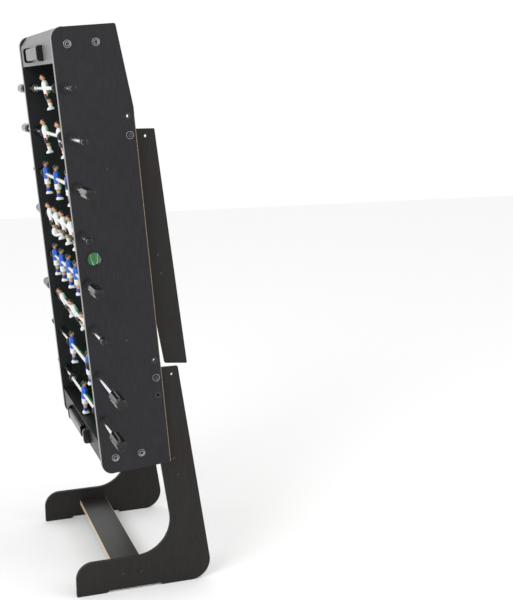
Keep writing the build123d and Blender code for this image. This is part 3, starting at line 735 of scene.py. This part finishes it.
def head(made, layer, skin, hair):
    """A plain egg-shaped head: short cropped hair, small nose and ears, dots for eyes."""
    centre = Vector((0.6, 0, 31.0))
    rings = []
    rows, around = 20, 28
    for row in range(1, rows):
        tilt = math.pi * row / rows
        ring = []
        for step in range(around):
            angle = 2 * math.pi * step / around
            girth = math.sin(tilt)
            out = Vector((girth * math.cos(angle), girth * math.sin(angle), math.cos(tilt)))
            x, y, z = 8.0 * out.x, 7.2 * out.y, 9.2 * out.z
            if z < 0:
                x *= 1 + 0.018 * z
                y *= 1 + 0.028 * z
            crop = out.z * 0.86 - out.x * 0.62 + 0.10
            colour = skin
            if crop > 0.30:
                colour = hair
                x, y, z = x * 1.06, y * 1.06, z * 1.05
            elif out.x > 0.86 and abs(out.y) < 0.16 and -0.36 < out.z < 0.08:
                x += 1.5
            elif out.x > 0.6 and 0.24 < abs(out.y) < 0.45 and 0.02 < out.z < 0.22:
                colour = (0.05, 0.03, 0.02)
            elif out.x > 0.7 and abs(out.y) < 0.25 and -0.56 < out.z < -0.44:
                colour = (0.42, 0.16, 0.12)
            vert = made.verts.new((centre.x + x, centre.y + y, centre.z + z))
            vert[layer] = (*colour, 1)
            ring.append(vert)
        rings.append(ring)
    top = made.verts.new((centre.x, 0, centre.z + 9.2 * 1.05))
    top[layer] = (*hair, 1)
    base = made.verts.new((centre.x, 0, centre.z - 9.2))
    base[layer] = (*skin, 1)
    faces = []
    for low, high in zip(rings, rings[1:]):
        for step in range(around):
            after = (step + 1) % around
            faces.append(made.faces.new((low[step], high[step], high[after], low[after])))
    for step in range(around):
        after = (step + 1) % around
        faces.append(made.faces.new((top, rings[0][step], rings[0][after])))
        faces.append(made.faces.new((base, rings[-1][after], rings[-1][step])))
    bmesh.ops.recalc_face_normals(made, faces=faces)
    for side in (-1, 1):
        ear = [
            (0.4, side * 7.0, 28.6, 1.0, 0.5),
            (0.2, side * 7.3, 30.5, 1.7, 0.9),
            (0.2, side * 7.2, 32.6, 1.2, 0.6),
        ]
        limb(made, layer, ear, skin, 3, 8)


def toy_man(name, shirt, trim, shorts, skin, socks, shoes, hair):
    """One player, 100 mm tall, rod through the chest along Y, facing +X, in millimetres."""
    made = bmesh.new()
    layer = made.verts.layers.float_color.new("paint")
    chest = [
        (-0.4, 0, 21.0, 4.6, 5.4),
        (-0.4, 0, 19.4, 6.6, 10.6),
        (0.0, 0, 15.0, 8.4, 13.6),
        (0.4, 0, 8.0, 9.4, 13.4),
        (0.4, 0, 0.0, 9.5, 12.9),
        (0.0, 0, -8.0, 8.6, 12.0),
        (0.0, 0, -14.0, 8.9, 12.3),
        (0.0, 0, -16.0, 8.8, 12.2),
    ]
    limb(made, layer, chest, shirt, 4, 20, 2.5)
    collar = [(0.0, 0, 19.0, 5.0, 6.2), (0.2, 0, 21.6, 4.9, 5.6), (0.3, 0, 22.4, 4.3, 4.9)]
    limb(made, layer, collar, trim, 3, 16)
    neck = [(0.2, 0, 18.0, 4.2, 4.4), (0.3, 0, 24.0, 4.0, 4.2)]
    limb(made, layer, neck, skin, 3, 14)
    head(made, layer, skin, hair)
    for side in (-1, 1):
        sleeve = [
            (0.0, side * 10.8, 18.4, 3.2, 2.2),
            (0.0, side * 12.6, 16.0, 4.3, 3.4),
            (0.2, side * 13.3, 9.0, 4.3, 3.4),
            (0.4, side * 13.5, 2.0, 4.3, 3.3),
        ]
        limb(made, layer, sleeve, shirt, 4, 12)
        arm = [
            (0.4, side * 13.5, 3.0, 3.2, 2.6),
            (1.0, side * 13.7, -6.0, 2.9, 2.4),
            (1.8, side * 13.6, -13.0, 2.6, 2.2),
            (2.2, side * 13.4, -17.0, 3.0, 2.3),
            (2.4, side * 13.2, -20.5, 2.2, 1.8),
        ]
        limb(made, layer, arm, skin, 3, 12)
        thigh = [
            (0.0, side * 5.8, -26.0, 6.2, 5.4),
            (0.3, side * 5.7, -33.0, 5.7, 5.1),
            (0.4, side * 5.4, -40.0, 4.9, 4.5),
            (0.2, side * 5.3, -44.0, 4.8, 4.4),
        ]
        limb(made, layer, thigh, skin, 4, 14)
        sock = [
            (0.1, side * 5.3, -42.0, 5.0, 4.6),
            (-0.2, side * 5.3, -46.0, 5.4, 4.8),
            (-0.2, side * 5.2, -51.0, 4.6, 4.2),
            (0.0, side * 5.2, -55.0, 4.4, 4.1),
        ]
        limb(made, layer, sock, socks, 4, 14)
        shoe = [
            (0.6, side * 5.2, -53.2, 5.4, 4.4),
            (1.2, side * 5.3, -55.6, 8.2, 4.8),
            (1.5, side * 5.3, -58.6, 10.2, 5.0),
            (1.5, side * 5.3, -61.0, 10.4, 5.0),
        ]
        limb(made, layer, shoe, shoes, 4, 16, 2.6)
        leg_hem = [
            (0.0, side * 5.9, -20.0, 8.2, 6.0),
            (0.0, side * 6.2, -26.0, 8.6, 6.3),
            (0.0, side * 6.3, -30.6, 8.7, 6.4),
        ]
        limb(made, layer, leg_hem, shorts, 4, 16, 2.4)
    hips = [(0.0, 0, -14.6, 8.9, 12.4), (0.0, 0, -19.0, 9.3, 12.7), (0.0, 0, -25.0, 9.0, 12.4)]
    limb(made, layer, hips, shorts, 4, 20, 2.5)
    block = [(0.5, 0, -54.0, 5.0, 3.0), (0.5, 0, -60.0, 6.5, 3.2)]
    limb(made, layer, block, shoes, 2, 10)
    mesh = bpy.data.meshes.new(name)
    bmesh.ops.scale(made, vec=(0.001, 0.001, 0.001), verts=made.verts)
    made.to_mesh(mesh)
    made.free()
    return mesh


def painted_plastic(name):
    """Toy paint on moulded plastic: the colours are in the mesh, with a soft gloss."""
    finish, tree, shader = new_finish(name)
    colours = tree.nodes.new("ShaderNodeAttribute")
    colours.attribute_name = "paint"
    where = tree.nodes.new("ShaderNodeTexCoord")
    worn = noise(tree, where.outputs["Object"], 210.0, 3.0)
    shade = tree.nodes.new("ShaderNodeMix")
    shade.data_type = "RGBA"
    shade.blend_type = "MULTIPLY"
    shade.inputs["Factor"].default_value = 1.0
    tree.links.new(colours.outputs["Color"], shade.inputs["A"])
    tree.links.new(between(tree, worn, (0.86, 0.86, 0.86), (1, 1, 1)), shade.inputs["B"])
    tree.links.new(shade.outputs["Result"], shader.inputs["Base Color"])
    skin = noise(tree, where.outputs["Object"], 1500.0, 2.0)
    tree.links.new(spread(tree, skin, 0.3, 0.7, 0.30, 0.42), shader.inputs["Roughness"])
    relief(tree, shader, skin, 0.00004)
    return finish


skin_tone = (0.62, 0.33, 0.20)
player_paint = painted_plastic("painted player plastic")
white_man = toy_man(
    "white player",
    shirt=(0.80, 0.82, 0.84),
    trim=(0.80, 0.82, 0.84),
    shorts=(0.012, 0.011, 0.012),
    skin=skin_tone,
    socks=(0.78, 0.79, 0.80),
    shoes=(0.82, 0.83, 0.84),
    hair=(0.060, 0.020, 0.010),
)
blue_man = toy_man(
    "blue player",
    shirt=(0.010, 0.095, 0.560),
    trim=(0.010, 0.095, 0.560),
    shorts=(0.78, 0.82, 0.86),
    skin=skin_tone,
    socks=(0.008, 0.060, 0.400),
    shoes=(0.82, 0.83, 0.84),
    hair=(0.022, 0.012, 0.010),
)
teams = {
    1: ("white", 1, 0.0, 13),
    2: ("white", 2, 0.268, 11),
    3: ("blue", 3, 0.196, 5),
    4: ("white", 5, 0.123, 13),
    5: ("blue", 5, 0.123, 5),
    6: ("white", 3, 0.196, 25),
    7: ("blue", 2, 0.268, 4),
    8: ("blue", 1, 0.0, 1),
}
for number, (team, count, spacing, hang) in teams.items():
    rod_middle = Vector(joints[f"rod_{number}_spin"]["pos_m"])
    turn = Matrix.Rotation(math.radians(-hang), 3, "Y")
    if team == "white":
        turn = turn @ Matrix.Rotation(math.pi, 3, "Z")
    angles = tuple(turn.to_euler("XYZ"))
    places = []
    for index in range(count):
        offset = (index - (count - 1) / 2) * spacing
        places.append((rod_middle + Vector((0, offset, 0)), angles))
    men = set_out(f"players_{number}", white_man if team == "white" else blue_man, places, player_paint)
    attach(men, f"rod_{number}")
    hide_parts(f"men_{number}")


# ---- Handles and end caps ------------------------------------------------------------------------
# Eight-sided moulded grips with a sunk panel on each side and a round end disc,
# pushed on one end of each rod, and a black cap on the other end.
grip_length = 0.104
cap_length = 0.030


def step_up(value, low, high):
    """0 below low, 1 above high, smooth between."""
    t = min(max((value - low) / (high - low), 0.0), 1.0)
    return t * t * (3 - 2 * t)


def grip_mesh(made, middle, start, way):
    """Grip from start along the rod; way is -1 towards the near side and +1 away."""
    outline = []
    for step in range(37):
        t = step / 36
        length = t * 0.0985
        swell = 0.0098 + 0.0052 * step_up(length, -0.002, 0.020) - 0.0012 * step_up(length, 0.086, 0.0985)
        outline.append((length, swell, 1.0))
    outline += [
        (0.0990, 0.0128, 0.0),
        (0.0996, 0.0124, 0.0),
        (0.1030, 0.0126, 0.0),
        (0.1038, 0.0120, 0.0),
        (0.1040, 0.0108, 0.0),
        (0.1036, 0.0100, 0.0),
        (0.1032, 0.0040, 0.0),
    ]
    around = 96
    rings = []
    for length, radius, sided in outline:
        ring = []
        for step in range(around):
            angle = 2 * math.pi * step / around
            local = (angle + math.pi / 8) % (math.pi / 4) - math.pi / 8
            flat = 0.9239 / math.cos(local)
            reach = min(flat, 0.985)
            sunk = step_up(0.30 - abs(local), 0.0, 0.055)
            sunk *= step_up(length, 0.014, 0.018) * (1 - step_up(length, 0.084, 0.088))
            r = radius * (reach if sided else 1.0) - 0.0009 * sunk * sided
            x = r * math.cos(angle + math.pi / 8)
            z = r * math.sin(angle + math.pi / 8)
            ring.append(made.verts.new((middle.x + x, start + way * length, middle.z + z)))
        rings.append(ring)
    close(made, rings)


def close(made, rings):
    """Skin over rings, with both ends closed."""
    faces = []
    for low, high in zip(rings, rings[1:]):
        for step in range(len(low)):
            after = (step + 1) % len(low)
            faces.append(made.faces.new((low[step], low[after], high[after], high[step])))
    faces.append(made.faces.new(rings[0]))
    faces.append(made.faces.new(list(reversed(rings[-1]))))
    bmesh.ops.recalc_face_normals(made, faces=faces)


def cap_mesh(made, middle, start, way):
    """Blunt end cap with a shallow groove near its mouth."""
    outline = [
        (0.0, 0.0076),
        (0.0008, 0.0084),
        (0.0040, 0.0085),
        (0.0046, 0.0079),
        (0.0060, 0.0079),
        (0.0066, 0.0085),
        (0.0262, 0.0083),
        (0.0284, 0.0076),
        (0.0296, 0.0062),
        (0.0300, 0.0040),
    ]
    rings = []
    for length, radius in outline:
        ring = []
        for step in range(36):
            angle = 2 * math.pi * step / 36
            x, z = radius * math.cos(angle), radius * math.sin(angle)
            ring.append(made.verts.new((middle.x + x, start + way * length, middle.z + z)))
        rings.append(ring)
    close(made, rings)


grip_colour = (0.0035, 0.0035, 0.0038)
grip_black = moulded("grip black plastic", grip_colour, gloss=0.12, mottle=0.1, grain=700.0, sheen=0.42)
for number, (team, count, spacing, hang) in teams.items():
    rod_middle = Vector(joints[f"rod_{number}_spin"]["pos_m"])
    low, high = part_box(f"grip_{number}")
    made = bmesh.new()
    if team == "white":
        grip_mesh(made, rod_middle, high.y - grip_length, 1)
        cap_mesh(made, rod_middle, low.y + cap_length, -1)
    else:
        grip_mesh(made, rod_middle, low.y + grip_length, -1)
        cap_mesh(made, rod_middle, high.y - cap_length, 1)
    mesh = bpy.data.meshes.new(f"handle_{number}")
    made.to_mesh(mesh)
    made.free()
    mesh.materials.append(grip_black)
    for face in mesh.polygons:
        face.use_smooth = len(face.vertices) == 4
    handle = bpy.data.objects.new(f"handle_{number}", mesh)
    bpy.context.scene.collection.objects.link(handle)
    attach(handle, f"rod_{number}")
    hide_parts(f"grip_{number}")


# ---- Studio: floor, light and camera -----------------------------------------------------------------
# A plain pale sweep, a large soft light high on the left, a weak one on the
# right, and the camera at chest height well in front of the near side.
floor_mesh = bpy.data.meshes.new("floor")
floor_mesh.from_pydata([(-9, -9, 0), (9, -9, 0), (9, 9, 0), (-9, 9, 0)], [], [(0, 1, 2, 3)])
floor = bpy.data.objects.new("floor", floor_mesh)
bpy.context.scene.collection.objects.link(floor)
floor_pale, tree, shader = new_finish("pale floor")
shader.inputs["Base Color"].default_value = (0.93, 0.93, 0.93, 1)
shader.inputs["Roughness"].default_value = 0.9
floor_mesh.materials.append(floor_pale)

world = bpy.data.worlds.new("studio")
bpy.context.scene.world = world
world.use_nodes = True
backdrop = world.node_tree.nodes["Background"]
backdrop.inputs["Color"].default_value = (1, 1, 1, 1)
backdrop.inputs["Strength"].default_value = 1.0


def soft_light(name, at, towards, size, power):
    """A square soft box."""
    data = bpy.data.lights.new(name, "AREA")
    data.shape = "SQUARE"
    data.size = size
    data.energy = power
    lamp = bpy.data.objects.new(name, data)
    bpy.context.scene.collection.objects.link(lamp)
    aim = (Vector(towards) - Vector(at)).to_track_quat("-Z", "Y").to_matrix().to_4x4()
    lamp.matrix_world = Matrix.Translation(at) @ aim


soft_light("soft box left", (-2.6, -2.4, 3.0), (-0.1, 0, 1.0), 1.8, 60)
soft_light("soft box right", (2.6, -2.6, 2.4), (0, 0, 0.9), 1.6, 25)

eye = Vector((hinge.x - 0.6936, hinge.y - 3.1609, 1.4169))
heading, down, roll = 0.3349, 0.1947, -0.008
level_reach = math.cos(down)
forward = Vector((math.sin(heading) * level_reach, math.cos(heading) * level_reach, -math.sin(down)))
right = Vector((math.cos(heading), -math.sin(heading), 0))
up = right.cross(forward)
right, up = math.cos(roll) * right + math.sin(roll) * up, math.cos(roll) * up - math.sin(roll) * right
camera_data = bpy.data.cameras.new("camera")
camera_data.sensor_fit = "HORIZONTAL"
camera_data.sensor_width = 36.0
camera_data.lens = 76.2456
camera = bpy.data.objects.new("camera", camera_data)
bpy.context.scene.collection.objects.link(camera)
stance = Matrix((right, up, -forward)).transposed().to_4x4()
stance.translation = eye
camera.matrix_world = stance
bpy.context.scene.camera = camera
bpy.context.scene.view_settings.view_transform = "Standard"
